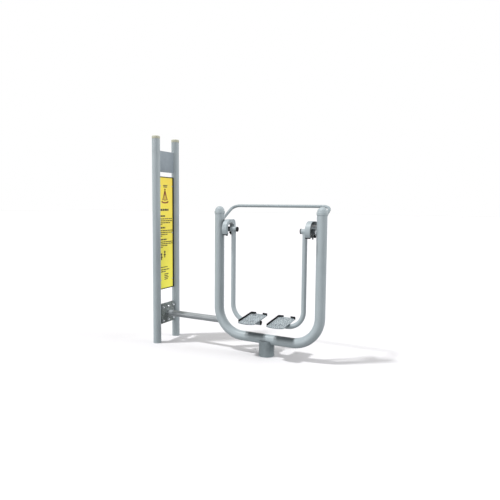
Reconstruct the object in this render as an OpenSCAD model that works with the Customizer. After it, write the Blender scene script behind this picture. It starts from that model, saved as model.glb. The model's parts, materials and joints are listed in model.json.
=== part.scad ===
// Outdoor air walker: a bent tube frame on a pedestal, tied to a two-post pylon with a sign.
// Two arms hang from bearings on the legs and swing front to back, each with a foot plate.
// X runs from the pylon to the far leg, Y from the user's back to the hand rail, Z up.
// The origin is the middle of the pedestal's foot.

/* [Pylon] */
// Height of the pylon, caps included
pylon_height = 2000; // [1800:10:2200]
// Distance from the middle of the walker to the pylon
pylon_reach = 1112; // [1000:1:1300]
// Distance between the two post axes
post_spacing = 308; // [280:1:360]
// Outside diameter of a post
post_d = 76.1; // [65:0.1:88.9]
// Wall of a post
post_wall = 3; // [2:0.5:5]
// Height of a post cap above the post tube
post_cap_h = 28; // [18:1:40]
// Height of each cross plate
cross_plate_h = 202; // [190:1:230]
// Thickness of each cross plate
cross_plate_t = 10; // [6:1:14]
// Distance from the top of the pylon down to the middle of the upper cross plate
upper_plate_drop = 234; // [160:1:300]
// Space between the sign and the upper cross plate
sign_gap_above = 43; // [20:1:80]
// Space between the sign and the lower cross plate
sign_gap_below = 144; // [80:1:200]
// Thickness of the sign sheet
sign_t = 4; // [3:0.5:6]
// Width of the sign's edge trim, seen from the front
trim_w = 8; // [7:0.5:12]
// Thickness of the sign's edge trim, front to back
trim_t = 12; // [10:0.5:16]

/* [Frame] */
// Distance between the two leg axes
leg_spacing = 994; // [960:1:1080]
// Outside diameter of the frame tube
frame_d = 88.9; // [82.5:0.1:101.6]
// Wall of the frame tube
frame_wall = 3.6; // [2.5:0.1:6]
// Bend radius of the frame at the centre of the tube
frame_bend_r = 250; // [220:1:300]
// Height of the axis of the frame's lower run
sill_z = 149; // [135:1:165]
// Height of the ends of the leg tubes
leg_top_z = 1272; // [1255:1:1320]
// Outside diameter of the pedestal
pedestal_d = 139.7; // [114.3:0.1:168.3]
// Wall of the pedestal
pedestal_wall = 5; // [3:0.5:8]
// Thickness of the plate that the frame rests on inside the pedestal
pedestal_plate_t = 10; // [8:1:15]
// Height of the axis of the tube that links the frame to the pylon
link_z = 271; // [240:1:300]
// Outside diameter of the link tube
link_d = 60.3; // [48.3:0.1:70]
// Wall of the link tube
link_wall = 2.9; // [2:0.1:5]

/* [Hand rail] */
// Distance between the axes of the rail's two arms
rail_spacing = 980; // [950:1:1010]
// Outside diameter of the hand rail
rail_d = 28; // [25:0.1:38]
// Wall of the hand rail
rail_wall = 2.6; // [1.5:0.1:4]
// Height at which the rail's arms leave the leg axes
rail_root_z = 1193; // [1170:1:1220]
// Length of the rail's arms, from the leg axis to the cross bar's axis
rail_reach = 299; // [260:1:340]
// Angle at which the rail's arms rise
rail_rise = 30.8; // [20:0.1:38]
// Bend radius of the hand rail at the centre of the tube
rail_bend_r = 68; // [50:1:90]

/* [Hinges] */
// Height of the axis that the arms swing on
hinge_z = 1132; // [1110:1:1150]
// Outside diameter of the hub
hub_d = 46; // [45:0.1:54]
// Bore of the ball bearings
bearing_bore = 17; // [15:1:18]
// Outside diameter of the ball bearings
bearing_d = 35; // [33:1:38]
// Width of a ball bearing
bearing_w = 10; // [9:1:12]
// Inner radius of the swing stop
stop_in_r = 58; // [52:1:62]
// Outer radius of the swing stop
stop_out_r = 90; // [84:1:98]
// Height of the flat underside of the swing stop's top above the hinge axis
stop_roof_z = 42; // [34:1:48]
// Width of the swing stop along the hinge axis
stop_w = 47.5; // [40:0.5:55]
// Space between the leg and the swing stop
stop_gap = 29.5; // [27:0.5:34]
// Angle from straight down to each end of the swing stop
stop_end_angle = 59; // [50:1:64]
// Angle that each rubber stop pad takes up
pad_angle = 8; // [6:0.5:10]
// Half the angle of the stop lug under the hub
lug_half_angle = 8; // [6:0.5:10]

/* [Arms] */
// Outside diameter of the arm tube
arm_d = 42.4; // [38:0.1:44]
// Wall of the arm tube
arm_wall = 3.2; // [2:0.1:4]
// Depth of the arm's lower run below the hinge axis
arm_drop = 842; // [800:1:860]
// Bend radius of the arm at the centre of the tube
arm_bend_r = 148; // [130:1:150]
// Space between the arm tube and the swing stop
arm_gap = 7; // [5:0.5:10]

/* [Foot plates] */
// Width of a foot plate
foot_w = 172; // [160:1:184]
// Distance from the hinge plane back to the heel edge
foot_heel = 165; // [150:1:175]
// Distance from the hinge plane forward to the toe edge
foot_toe = 140; // [125:1:150]
// Thickness of a foot plate
foot_t = 5; // [4:0.5:6]
// Space between the two foot plates
foot_gap = 108; // [96:1:120]
// Height of a plate's top above the axis of the arm's lower run
foot_lift = 32; // [31:0.5:36]
// Angle at which the toe end is raised
foot_tilt = 6; // [3:0.5:9]
// Height of the black edge guards above the plate
guard_h = 16; // [10:1:22]

/* [Hidden] */
$fn = 96;
over = 1;
run_clear = 0.05;
slip = 0.2;
steel = [0.62, 0.67, 0.69];
zinc = [0.72, 0.73, 0.74];
black = [0.08, 0.08, 0.09];
beige = [0.77, 0.74, 0.64];
yellow = [0.98, 0.88, 0.25];

// Posts and their caps
pylon_x = -pylon_reach;
post_y = post_spacing / 2;
post_edge = post_y - post_d / 2;
post_tube_h = pylon_height - post_cap_h;
cap_proud = 0.8;
cap_wall = 3;
cap_round = 5;
cap_skirt = 26;

// Cross plates, sign and its lugs
lower_plate_top = link_z + cross_plate_h / 2;
upper_plate_z = pylon_height - upper_plate_drop;
sign_bottom = lower_plate_top + sign_gap_below;
sign_top = upper_plate_z - cross_plate_h / 2 - sign_gap_above;
sign_h = sign_top - sign_bottom;
sign_side_gap = 3;
sign_half_w = post_edge - sign_side_gap;
trim_wall = 2;
lug_plate_t = 5;
lug_plate_h = 34;
lug_plate_reach = 28;
lug_end_inset = 90;
lug_rows = 3;
screw_inset = 19;
screw_d = 8;
screw_head_d = 14;
screw_head_h = 4;
nut_af = 13;
nut_h = 6.5;
bolt_hole_slip = 0.5;

// Link between the pylon and the frame
link_flange_t = 10;
link_flange_w = 204;
link_flange_h = 168;
link_bolt_y = 82;
link_bolt_z = 66;
link_bolt_d = 12;
link_bolt_af = 19;
link_head_h = 7.5;
link_nut_h = 10;
washer_t = 2.5;
washer_d = 24;

// Frame tube, pedestal and leg caps
leg_x = leg_spacing / 2;
leg_r = frame_d / 2;
rim_drop = 7;
pedestal_top = sill_z - rim_drop;
plate_cope = 7.5;
pedestal_plate_z = sill_z - leg_r + plate_cope - pedestal_plate_t;
pedestal_foot_t = 8;
collar_proud = 3.2;
leg_cap_r = leg_r + collar_proud;
collar_h = 26;
collar_edge = 2.5;
dome_inset = 1;
dome_r = leg_r - dome_inset;
dome_wall = 3;
leg_cap_skirt = 40;

// Hinge pieces, placed along the hinge axis from the leg's axis
boss_len = 12;
boss_d = 36;
shoulder_d = 22;
hub_gap = 3.5;
hub_x0 = leg_r + boss_len + hub_gap;
seal_w = 6;
inner_bearing_x = hub_x0 + seal_w;
stop_x0 = leg_r + stop_gap;
arm_x = stop_x0 + stop_w + arm_gap + arm_d / 2;
hub_tail = 7;
neck_d = 40;
neck_len = 6;
hub_x1 = arm_x + arm_d / 2 + hub_tail + neck_len;
cover_d = 47;
cover_t = 7;
cover_edge = 1.5;
cover_wall = 3;
cover_skirt = 12;
lock_nut_h = 11;
lock_nut_af = 22;
lock_washer_t = 2.5;
lock_washer_d = 23;
thread_d = 14;
thread_tail = 2;
outer_bearing_x = hub_x1 - lock_washer_t - lock_nut_h - 2 * thread_tail - bearing_w;
race_shoulder = 2;
race_wall = 3;
ball_d = 4.7;
ball_count = 10;
ball_pitch_r = (bearing_bore + bearing_d) / 4;
stop_round = 4;
stop_bend_r = 6;
tongue_angle = 11;
tongue_in_r = 62;
pad_inset = 1;
pad_stud_d = 8;
pad_stud_len = 14;
lug_inset = 1;
lug_w = 8;
lug_reach = 8;

// Arm end, foot plate, brackets and guards
arm_end_inset = 8;
plug_t = 5;
plug_skirt = 22;
plug_wall = 2.5;
foot_x = (foot_gap + foot_w) / 2;
arm_end_x = leg_x - foot_gap / 2 - arm_end_inset;
heel_corner_r = 45;
toe_corner_r = 20;
heel_arc_r = foot_w;
toe_arc_r = 4 * foot_w;
guard_t = 8;
guard_mouth = 68;
guard_heel_gap = 30;
guard_return = 26;
bracket_u = 46;
bracket_t = 5;
bracket_flange_w = 30;
bracket_flange_t = 4;
bracket_half = 105;
bracket_end_h = 8;
bracket_foot_half = 34;
bracket_below = 8;
foot_screw_v = 85;
foot_screw_d = 8;
foot_screw_head_d = 15;
foot_screw_head_h = 4;

// A bar or disc along X, starting at x
module rod(x, len, d) {
    translate([x, 0, 0]) rotate([0, 90, 0]) cylinder(d = d, h = len);
}

// A ring or sleeve along X, starting at x
module sleeve(x, len, d_out, d_in) {
    difference() {
        rod(x, len, d_out);
        rod(x - over, len + 2 * over, d_in);
    }
}

// A hexagon along X, starting at x, with its flats af apart
module hexagon(x, len, af) {
    translate([x, 0, 0]) rotate([0, 90, 0]) cylinder(d = af / cos(30), h = len, $fn = 6);
}

// A body turned round the hinge axis. Angle 0 is straight down, and positive is towards the rail
module round_hinge(x, from, sweep) {
    translate([x, 0, 0]) rotate([0, 90, 0]) rotate_extrude(start = from, angle = sweep) children();
}

// A rectangle with its lower left corner at the origin and round corners of radius r
module round_rectangle(w, h, r) {
    translate([r, 0]) square([w - 2 * r, h]);
    translate([0, r]) square([w, h - 2 * r]);
    for (x = [r, w - r], y = [r, h - r]) translate([x, y]) circle(r = r);
}

// Puts a piece drawn from the leg's axis towards the middle at the left or right hinge
module at_hinge(side) {
    translate([side * leg_x, 0, hinge_z]) mirror([side > 0 ? 1 : 0, 0, 0]) children();
}

// The U frame as a bar of diameter d along the centre line, longer by extra at the leg tops
module frame_bar(d, extra) {
    rise = sill_z + frame_bend_r;
    for (side = [-1, 1]) {
        translate([side * leg_x, 0, rise]) cylinder(d = d, h = leg_top_z - rise + extra);
        translate([side * (leg_x - frame_bend_r), 0, rise]) rotate([90, 0, 0])
            rotate_extrude(start = side < 0 ? 180 : 270, angle = 90)
                translate([frame_bend_r, 0]) circle(d = d);
    }
    translate([0, 0, sill_z]) rod(frame_bend_r - leg_x, 2 * (leg_x - frame_bend_r), d);
}

module u_frame() {
    color(steel) difference() {
        frame_bar(frame_d, 0);
        frame_bar(frame_d - 2 * frame_wall, over);
    }
}

// The pedestal's rim is cut to the frame tube, which lies in it as in a saddle
module pedestal() {
    bore_h = pedestal_top + 2 * over;
    color(steel) difference() {
        cylinder(d = pedestal_d, h = pedestal_top);
        translate([0, 0, -over]) cylinder(d = pedestal_d - 2 * pedestal_wall, h = bore_h);
        frame_bar(frame_d, 0);
    }
}

// A disc inside the pedestal with a shallow trough for the frame tube
module pedestal_plate() {
    color(steel) difference() {
        translate([0, 0, pedestal_plate_z])
            cylinder(d = pedestal_d - 2 * pedestal_wall, h = pedestal_plate_t);
        frame_bar(frame_d, 0);
    }
}

// A disc welded into the pedestal's lower end, flush with it
module pedestal_foot() {
    color(steel) cylinder(d = pedestal_d - 2 * pedestal_wall, h = pedestal_foot_t);
}

// A domed cap with a thick collar, sitting on the end of a leg
module leg_cap(side) {
    bore_d = frame_d - 2 * frame_wall - 2 * slip;
    color(steel) translate([side * leg_x, 0, leg_top_z]) difference() {
        union() {
            cylinder(r1 = leg_cap_r - collar_edge, r2 = leg_cap_r, h = collar_edge);
            translate([0, 0, collar_edge]) cylinder(r = leg_cap_r, h = collar_h - 2 * collar_edge);
            translate([0, 0, collar_h - collar_edge])
                cylinder(r1 = leg_cap_r, r2 = leg_cap_r - collar_edge, h = collar_edge);
            intersection() {
                translate([0, 0, collar_h]) sphere(r = dome_r);
                translate([0, 0, collar_h]) cylinder(r = dome_r + over, h = dome_r + over);
            }
            translate([0, 0, -leg_cap_skirt]) cylinder(d = bore_d, h = leg_cap_skirt);
        }
        translate([0, 0, -leg_cap_skirt - over])
            cylinder(d = bore_d - 2 * dome_wall, h = leg_cap_skirt + collar_h + over);
        translate([0, 0, collar_h]) sphere(d = bore_d - 2 * dome_wall);
    }
}

// The hand rail lies flat in a plane that rises backwards from the legs
module rail_bar(d) {
    straight = rail_reach - rail_bend_r;
    bend_x = rail_spacing / 2 - rail_bend_r;
    for (side = [-1, 1]) {
        translate([side * rail_spacing / 2, 0, 0]) rotate([-90, 0, 0]) cylinder(d = d, h = straight);
        translate([side * bend_x, straight, 0]) rotate_extrude(start = side < 0 ? 90 : 0, angle = 90)
            translate([rail_bend_r, 0]) circle(d = d);
    }
    translate([0, rail_reach, 0]) rod(-bend_x, 2 * bend_x, d);
}

module hand_rail() {
    color(steel) difference() {
        translate([0, 0, rail_root_z]) rotate([rail_rise, 0, 0]) difference() {
            rail_bar(rail_d);
            rail_bar(rail_d - 2 * rail_wall);
        }
        frame_bar(frame_d, over);
    }
}

module post(side) {
    color(steel) translate([pylon_x, side * post_y, 0]) difference() {
        cylinder(d = post_d, h = post_tube_h);
        translate([0, 0, -over]) cylinder(d = post_d - 2 * post_wall, h = post_tube_h + 2 * over);
    }
}

module post_cap(side) {
    cap_r = post_d / 2 + cap_proud;
    bore_d = post_d - 2 * post_wall - 2 * slip;
    color(beige) translate([pylon_x, side * post_y, post_tube_h]) difference() {
        union() {
            cylinder(r = cap_r, h = post_cap_h - cap_round);
            translate([0, 0, post_cap_h - cap_round])
                cylinder(r1 = cap_r, r2 = cap_r - cap_round, h = cap_round);
            translate([0, 0, -cap_skirt]) cylinder(d = bore_d, h = cap_skirt);
        }
        translate([0, 0, -cap_skirt - over])
            cylinder(d = bore_d - 2 * cap_wall, h = cap_skirt + post_cap_h - cap_round + over);
    }
}

// Both posts as solid bars, to cut what is welded between them
module post_bars() {
    for (side = [-1, 1]) translate([pylon_x, side * post_y, 0]) cylinder(d = post_d, h = pylon_height);
}

module cross_plate(z) {
    difference() {
        translate([pylon_x - cross_plate_t / 2, -post_y, z - cross_plate_h / 2])
            cube([cross_plate_t, post_spacing, cross_plate_h]);
        post_bars();
    }
}

module upper_cross_plate() {
    color(steel) cross_plate(upper_plate_z);
}

module link_bolt_places() {
    for (y = [-1, 0, 1], z = [-1, 1])
        translate([pylon_x, y * link_bolt_y, link_z + z * link_bolt_z]) children();
}

module lower_cross_plate() {
    color(steel) difference() {
        cross_plate(link_z);
        link_bolt_places() rod(-cross_plate_t, 2 * cross_plate_t, link_bolt_d + bolt_hole_slip);
    }
}

module sign_sheet() {
    color(yellow) difference() {
        translate([pylon_x - sign_t / 2, trim_wall - sign_half_w, sign_bottom + trim_wall])
            cube([sign_t, 2 * (sign_half_w - trim_wall), sign_h - 2 * trim_wall]);
        sign_places() rod(-sign_t, 2 * sign_t, screw_d + bolt_hole_slip);
    }
}

// A black channel that grips all four edges of the sheet
module sign_trim() {
    color(black) difference() {
        translate([pylon_x - trim_t / 2, -sign_half_w, sign_bottom])
            cube([trim_t, 2 * sign_half_w, sign_h]);
        translate([pylon_x - trim_t, trim_w - sign_half_w, sign_bottom + trim_w])
            cube([2 * trim_t, 2 * (sign_half_w - trim_w), sign_h - 2 * trim_w]);
        translate([pylon_x - sign_t / 2, trim_wall - sign_half_w, sign_bottom + trim_wall])
            cube([sign_t, 2 * (sign_half_w - trim_wall), sign_h - 2 * trim_wall]);
    }
}

// The sign's six screws, in rows up both edges
module sign_places() {
    row = (sign_h - 2 * lug_end_inset) / (lug_rows - 1);
    for (side = [-1, 1], n = [0 : lug_rows - 1])
        translate([pylon_x, side * (sign_half_w - screw_inset), sign_bottom + lug_end_inset + n * row])
            rotate([side > 0 ? 0 : 180, 0, 0]) children();
}

module sign_lugs() {
    color(steel) difference() {
        sign_places() translate([-sign_t / 2 - lug_plate_t, screw_inset - lug_plate_reach, -lug_plate_h / 2])
            cube([lug_plate_t, lug_plate_reach + sign_side_gap + post_d / 4, lug_plate_h]);
        post_bars();
        sign_places() rod(-trim_t - lug_plate_t, 2 * trim_t, screw_d + bolt_hole_slip);
        translate([pylon_x - trim_t / 2, -sign_half_w, sign_bottom]) cube([trim_t, trim_w, sign_h]);
        translate([pylon_x - trim_t / 2, sign_half_w - trim_w, sign_bottom]) cube([trim_t, trim_w, sign_h]);
    }
}

module sign_screws() {
    shank = sign_t + lug_plate_t + nut_h + over;
    color(zinc) sign_places() {
        rod(sign_t / 2 - shank, shank, screw_d);
        translate([sign_t / 2, 0, 0]) rotate([0, 90, 0])
            cylinder(d1 = screw_head_d, d2 = screw_head_d / 2, h = screw_head_h);
    }
}

module sign_nuts() {
    color(zinc) sign_places() difference() {
        hexagon(-sign_t / 2 - lug_plate_t - nut_h, nut_h, nut_af);
        rod(-sign_t / 2 - lug_plate_t - nut_h - over, nut_h + 2 * over, screw_d);
    }
}

// The link tube is cut to the frame's bend and welded to it
module link_tube() {
    x0 = pylon_x + cross_plate_t / 2 + link_flange_t;
    bend_rise = sill_z + frame_bend_r - link_z;
    x1 = frame_bend_r - leg_x - sqrt(frame_bend_r ^ 2 - bend_rise ^ 2);
    color(steel) difference() {
        translate([0, 0, link_z]) sleeve(x0, x1 - x0, link_d, link_d - 2 * link_wall);
        frame_bar(frame_d, 0);
    }
}

module link_flange() {
    x0 = pylon_x + cross_plate_t / 2;
    color(steel) difference() {
        translate([x0, -link_flange_w / 2, link_z - link_flange_h / 2])
            cube([link_flange_t, link_flange_w, link_flange_h]);
        link_bolt_places() rod(0, 2 * (link_flange_t + cross_plate_t), link_bolt_d + bolt_hole_slip);
    }
}

module link_bolts() {
    grip = cross_plate_t + link_flange_t + 2 * washer_t;
    head_x = -cross_plate_t / 2 - washer_t;
    color(zinc) link_bolt_places() {
        hexagon(head_x - link_head_h, link_head_h, link_bolt_af);
        rod(head_x, grip + link_nut_h, link_bolt_d);
    }
}

module link_washers() {
    hole = link_bolt_d + bolt_hole_slip;
    color(zinc) link_bolt_places() {
        sleeve(-cross_plate_t / 2 - washer_t, washer_t, washer_d, hole);
        sleeve(cross_plate_t / 2 + link_flange_t, washer_t, washer_d, hole);
    }
}

// Cap nuts: a hexagon with a dome over the end of the bolt
module link_nuts() {
    nut_x = cross_plate_t / 2 + link_flange_t + washer_t;
    dome_d = 0.9 * link_bolt_af;
    color(zinc) link_bolt_places() difference() {
        union() {
            hexagon(nut_x, link_nut_h, link_bolt_af);
            intersection() {
                translate([nut_x + link_nut_h, 0, 0]) sphere(d = dome_d);
                rod(nut_x + link_nut_h / 2, link_nut_h / 2 + dome_d, dome_d);
            }
        }
        rod(nut_x - over, link_nut_h + over, link_bolt_d);
    }
}

// A turned axle: boss on the leg, shoulder, journal for the bearings and a thread for the nut
module axle(side) {
    journal_end = outer_bearing_x + bearing_w;
    thread_end = journal_end + lock_washer_t + lock_nut_h + thread_tail;
    color(zinc) difference() {
        at_hinge(side) {
            rod(0, leg_r + boss_len, boss_d);
            rod(0, inner_bearing_x, shoulder_d);
            rod(0, journal_end, bearing_bore);
            rod(0, thread_end, thread_d);
        }
        frame_bar(frame_d, 0);
    }
}

// The section of the swing stop's bar, at radius r from the centre that it turns round
module stop_section(r) {
    translate([r, 0]) round_rectangle(stop_out_r - stop_in_r, stop_w, stop_round);
}

// The stop's bar: round on the user's side, with a tighter bend at the top towards the rail
module stop_bar() {
    reach = stop_in_r - stop_bend_r;
    translate([stop_x0, 0, 0]) rotate([0, 90, 0]) {
        rotate_extrude(start = stop_end_angle, angle = 90 - stop_end_angle) stop_section(stop_in_r);
        translate([-reach, 0, 0]) rotate([90, 0, 90]) linear_extrude(reach) stop_section(stop_in_r);
        translate([-reach, reach, 0]) rotate_extrude(start = 90, angle = 90) stop_section(stop_bend_r);
        rotate([90, 0, 180]) linear_extrude(reach) stop_section(stop_in_r);
        rotate_extrude(start = 180, angle = 180 - stop_end_angle) stop_section(stop_in_r);
        linear_extrude(stop_w) stop_roof();
    }
}

// The solid under the stop's top, whose underside is flat
module stop_roof() {
    reach = (stop_in_r + stop_out_r) / 2;
    intersection() {
        translate([-reach, -reach]) square([reach - stop_roof_z, 2 * reach]);
        union() {
            circle(r = reach);
            translate([-reach, 0]) square(reach);
        }
    }
}

// The C-shaped swing stop round the hub, and the tongue that welds it to the leg
module swing_stop(side) {
    color(steel) difference() {
        at_hinge(side) {
            difference() {
                stop_bar();
                stop_studs(pad_stud_d + 2 * slip, over);
            }
            round_hinge(0, 180 - tongue_angle / 2, tongue_angle)
                translate([tongue_in_r, 0])
                    square([stop_out_r - stop_round - tongue_in_r, stop_x0 + stop_round]);
        }
        frame_bar(frame_d, 0);
    }
}

// The studs that hold the stop pads run into the ends of the stop
module stop_studs(d, extra) {
    mid_r = (stop_in_r + stop_out_r) / 2;
    for (turn = [-1, 1]) rotate([turn * stop_end_angle, 0, 0])
        translate([stop_x0 + stop_w / 2, 0, -mid_r]) rotate([-turn * 90, 0, 0])
            cylinder(d = d, h = pad_stud_len + extra);
}

module stop_pads(side) {
    wall = stop_out_r - stop_in_r;
    color(black) at_hinge(side) {
        for (from = [-stop_end_angle, stop_end_angle - pad_angle])
            round_hinge(stop_x0 + pad_inset, from, pad_angle)
                translate([stop_in_r, 0]) square([wall, stop_w - 2 * pad_inset]);
        stop_studs(pad_stud_d, 0);
    }
}

// A lug welded under the hub, next to the leg. It meets the stop pads at both ends of the swing
module stop_lug(side) {
    color(steel) at_hinge(side)
        round_hinge(stop_x0 + lug_inset, -lug_half_angle, 2 * lug_half_angle)
            translate([hub_d / 2, 0]) square([stop_in_r + lug_reach - hub_d / 2, lug_w]);
}

// The hub has a seat for each bearing, a shoulder between them and a turned neck at its end
module hub(side) {
    bore_x1 = outer_bearing_x;
    bore_x0 = inner_bearing_x + bearing_w;
    color(steel) at_hinge(side) difference() {
        union() {
            rod(hub_x0, hub_x1 - neck_len - hub_x0, hub_d);
            rod(hub_x0, hub_x1 - hub_x0, neck_d);
        }
        rod(hub_x0 - over, bore_x0 - hub_x0 + over, bearing_d);
        rod(bore_x0 - over, bore_x1 - bore_x0 + 2 * over, bearing_d - 2 * race_shoulder);
        rod(bore_x1, hub_x1 - bore_x1 + over, bearing_d);
    }
}

// Both bearings of one hub share these places
module bearing_places() {
    for (x = [inner_bearing_x, outer_bearing_x]) translate([x + bearing_w / 2, 0, 0]) children();
}

module groove() {
    rotate([0, 90, 0]) rotate_extrude() translate([ball_pitch_r, 0]) circle(d = ball_d + 2 * run_clear);
}

module inner_races(side) {
    color(zinc) at_hinge(side) bearing_places() difference() {
        sleeve(-bearing_w / 2, bearing_w, bearing_bore + 2 * race_wall, bearing_bore);
        groove();
    }
}

module outer_races(side) {
    color(zinc) at_hinge(side) bearing_places() difference() {
        sleeve(-bearing_w / 2, bearing_w, bearing_d, bearing_d - 2 * race_wall);
        groove();
    }
}

module balls(side) {
    color(zinc) at_hinge(side) bearing_places() for (n = [0 : ball_count - 1])
        rotate([n * 360 / ball_count, 0, 0]) translate([0, 0, ball_pitch_r]) sphere(d = ball_d);
}

// The inner races, the spacers between them, the lock washers and the lock nuts stand still
module spacers() {
    x0 = inner_bearing_x + bearing_w;
    color(zinc) for (side = [-1, 1]) at_hinge(side)
        sleeve(x0, outer_bearing_x - x0, shoulder_d, bearing_bore);
}

module lock_washers() {
    x0 = outer_bearing_x + bearing_w;
    color(zinc) for (side = [-1, 1]) at_hinge(side) sleeve(x0, lock_washer_t, lock_washer_d, thread_d);
}

module lock_nuts() {
    x0 = outer_bearing_x + bearing_w + lock_washer_t;
    color(zinc) for (side = [-1, 1]) at_hinge(side) difference() {
        hexagon(x0, lock_nut_h, lock_nut_af);
        rod(x0 - over, lock_nut_h + 2 * over, thread_d);
    }
}

module seal(side) {
    color(black) at_hinge(side) sleeve(hub_x0, seal_w, bearing_d, shoulder_d + 2 * run_clear);
}

// A push-in cover with a broad disc over the hub's neck
module hub_cover(side) {
    skirt_x = hub_x1 - cover_skirt;
    hollow = cover_skirt + cover_t - cover_wall;
    color(black) at_hinge(side) difference() {
        union() {
            rod(hub_x1, cover_t - cover_edge, cover_d);
            translate([hub_x1 + cover_t - cover_edge, 0, 0]) rotate([0, 90, 0])
                cylinder(d1 = cover_d, d2 = cover_d - 2 * cover_edge, h = cover_edge);
            rod(skirt_x, cover_skirt, bearing_d);
        }
        rod(skirt_x - over, hollow + over, bearing_d - 2 * cover_wall);
    }
}

// The arm as a bar of diameter d along the centre line, longer by extra at its open end
module arm_bar(d, extra) {
    straight = arm_drop - arm_bend_r;
    bend_x = arm_x + arm_bend_r;
    translate([arm_x, 0, -straight]) cylinder(d = d, h = straight);
    translate([bend_x, 0, -straight]) rotate([90, 0, 0])
        rotate_extrude(start = 180, angle = 90) translate([arm_bend_r, 0]) circle(d = d);
    translate([0, 0, -arm_drop]) rod(bend_x, arm_end_x - bend_x + extra, d);
}

module arm(side) {
    color(steel) at_hinge(side) difference() {
        arm_bar(arm_d, 0);
        arm_bar(arm_d - 2 * arm_wall, over);
        rod(hub_x0, hub_x1 - hub_x0, hub_d);
    }
}

module arm_plug(side) {
    bore_d = arm_d - 2 * arm_wall - 2 * slip;
    color(black) at_hinge(side) translate([0, 0, -arm_drop]) difference() {
        union() {
            rod(arm_end_x, plug_t, arm_d);
            rod(arm_end_x - plug_skirt, plug_skirt, bore_d);
        }
        rod(arm_end_x - plug_skirt - over, plug_skirt + over, bore_d - 2 * plug_wall);
    }
}

// Puts a piece drawn from the top of the foot plate, above the hinge plane, in its place
module at_foot(side) {
    translate([side * foot_x, 0, hinge_z - arm_drop + foot_lift]) rotate([foot_tilt, 0, 0]) children();
}

// The plate's outline: straight sides, a well rounded heel and a slightly rounded toe
module foot_outline(inset) {
    w = foot_w - 2 * inset;
    length = foot_heel + foot_toe - 2 * inset;
    intersection() {
        union() {
            translate([-w / 2, inset - foot_heel]) round_rectangle(w, length * 2 / 3, heel_corner_r - inset);
            translate([-w / 2, foot_toe - inset - length * 2 / 3])
                round_rectangle(w, length * 2 / 3, toe_corner_r - inset);
        }
        translate([0, heel_arc_r - foot_heel]) circle(r = heel_arc_r - inset);
        translate([0, foot_toe - toe_arc_r]) circle(r = toe_arc_r - inset, $fn = 360);
    }
}

module foot_screw_places() {
    for (u = [-1, 1], v = [-1, 1])
        translate([u * (bracket_u - bracket_flange_w / 2), v * foot_screw_v, 0]) children();
}

module foot_screw_shape(d, head_d) {
    translate([0, 0, -foot_t - bracket_flange_t - nut_h - over])
        cylinder(d = d, h = foot_t + bracket_flange_t + nut_h + over);
    translate([0, 0, -foot_screw_head_h]) cylinder(d1 = d, d2 = head_d, h = foot_screw_head_h);
}

module foot_plate(side) {
    color(steel) at_foot(side) difference() {
        translate([0, 0, -foot_t]) linear_extrude(foot_t) foot_outline(0);
        foot_screw_places() foot_screw_shape(foot_screw_d, foot_screw_head_d);
    }
}

// Two angle brackets saddle the arm tube and carry the plate
module foot_brackets(side) {
    top = -foot_t;
    web_top = top - bracket_flange_t;
    low = -foot_lift - bracket_below;
    flange_u = bracket_u - bracket_flange_w / 2;
    color(steel) difference() {
        at_foot(side) for (u = [-1, 1]) difference() {
            union() {
                translate([u * bracket_u - bracket_t / 2, 0, 0]) rotate([90, 0, 90])
                    linear_extrude(bracket_t) polygon([
                        [-bracket_half, top], [bracket_half, top],
                        [bracket_half, web_top - bracket_end_h], [bracket_foot_half, low],
                        [-bracket_foot_half, low], [-bracket_half, web_top - bracket_end_h]
                    ]);
                translate([u * flange_u - bracket_flange_w / 2, -bracket_half, web_top])
                    cube([bracket_flange_w, 2 * bracket_half, bracket_flange_t]);
            }
            foot_screw_places() foot_screw_shape(foot_screw_d, foot_screw_head_d);
        }
        at_hinge(side) arm_bar(arm_d, 0);
    }
}

module foot_screws(side) {
    color(zinc) at_foot(side) foot_screw_places() foot_screw_shape(foot_screw_d, foot_screw_head_d);
}

module foot_nuts(side) {
    nut_z = -foot_t - bracket_flange_t - nut_h;
    color(zinc) at_foot(side) foot_screw_places() difference() {
        translate([0, 0, nut_z]) cylinder(d = nut_af / cos(30), h = nut_h, $fn = 6);
        translate([0, 0, nut_z - over]) cylinder(d = foot_screw_d, h = nut_h + 2 * over);
    }
}

// Both plates have a long guard up their left side and round the toe, and a short one at the right
module edge_guards(side) {
    long_v = guard_heel_gap + guard_t - foot_heel;
    color(black) at_foot(side) linear_extrude(guard_h) intersection() {
        difference() {
            foot_outline(0);
            foot_outline(guard_t);
        }
        union() {
            translate([-foot_w / 2 - over, long_v])
                square([foot_w / 2 + over - guard_mouth / 2, foot_toe - long_v + over]);
            translate([guard_mouth / 2, foot_toe - guard_return])
                square([foot_w / 2 + over - guard_mouth / 2, guard_return + over]);
        }
    }
}

u_frame();
pedestal();
pedestal_plate();
pedestal_foot();
leg_cap(-1);  // left_leg_cap
leg_cap(1);  // right_leg_cap
hand_rail();
post(-1);  // front_post
post(1);  // back_post
post_cap(-1);  // front_post_cap
post_cap(1);  // back_post_cap
upper_cross_plate();
lower_cross_plate();
sign_sheet();
sign_trim();
sign_lugs();
sign_screws();
sign_nuts();
link_tube();
link_flange();
link_bolts();
link_washers();
link_nuts();
axle(-1);  // left_axle
axle(1);  // right_axle
swing_stop(-1);  // left_stop
swing_stop(1);  // right_stop
stop_pads(-1);  // left_stop_pads
stop_pads(1);  // right_stop_pads
inner_races(-1);  // left_inner_races
inner_races(1);  // right_inner_races
balls(-1);  // left_balls
balls(1);  // right_balls
spacers();
lock_washers();
lock_nuts();
hub(-1);  // left_hub
hub(1);  // right_hub
stop_lug(-1);  // left_stop_lug
stop_lug(1);  // right_stop_lug
outer_races(-1);  // left_outer_races
outer_races(1);  // right_outer_races
seal(-1);  // left_seal
seal(1);  // right_seal
hub_cover(-1);  // left_hub_cover
hub_cover(1);  // right_hub_cover
arm(-1);  // left_arm
arm(1);  // right_arm
arm_plug(-1);  // left_arm_plug
arm_plug(1);  // right_arm_plug
foot_brackets(-1);  // left_foot_brackets
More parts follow.
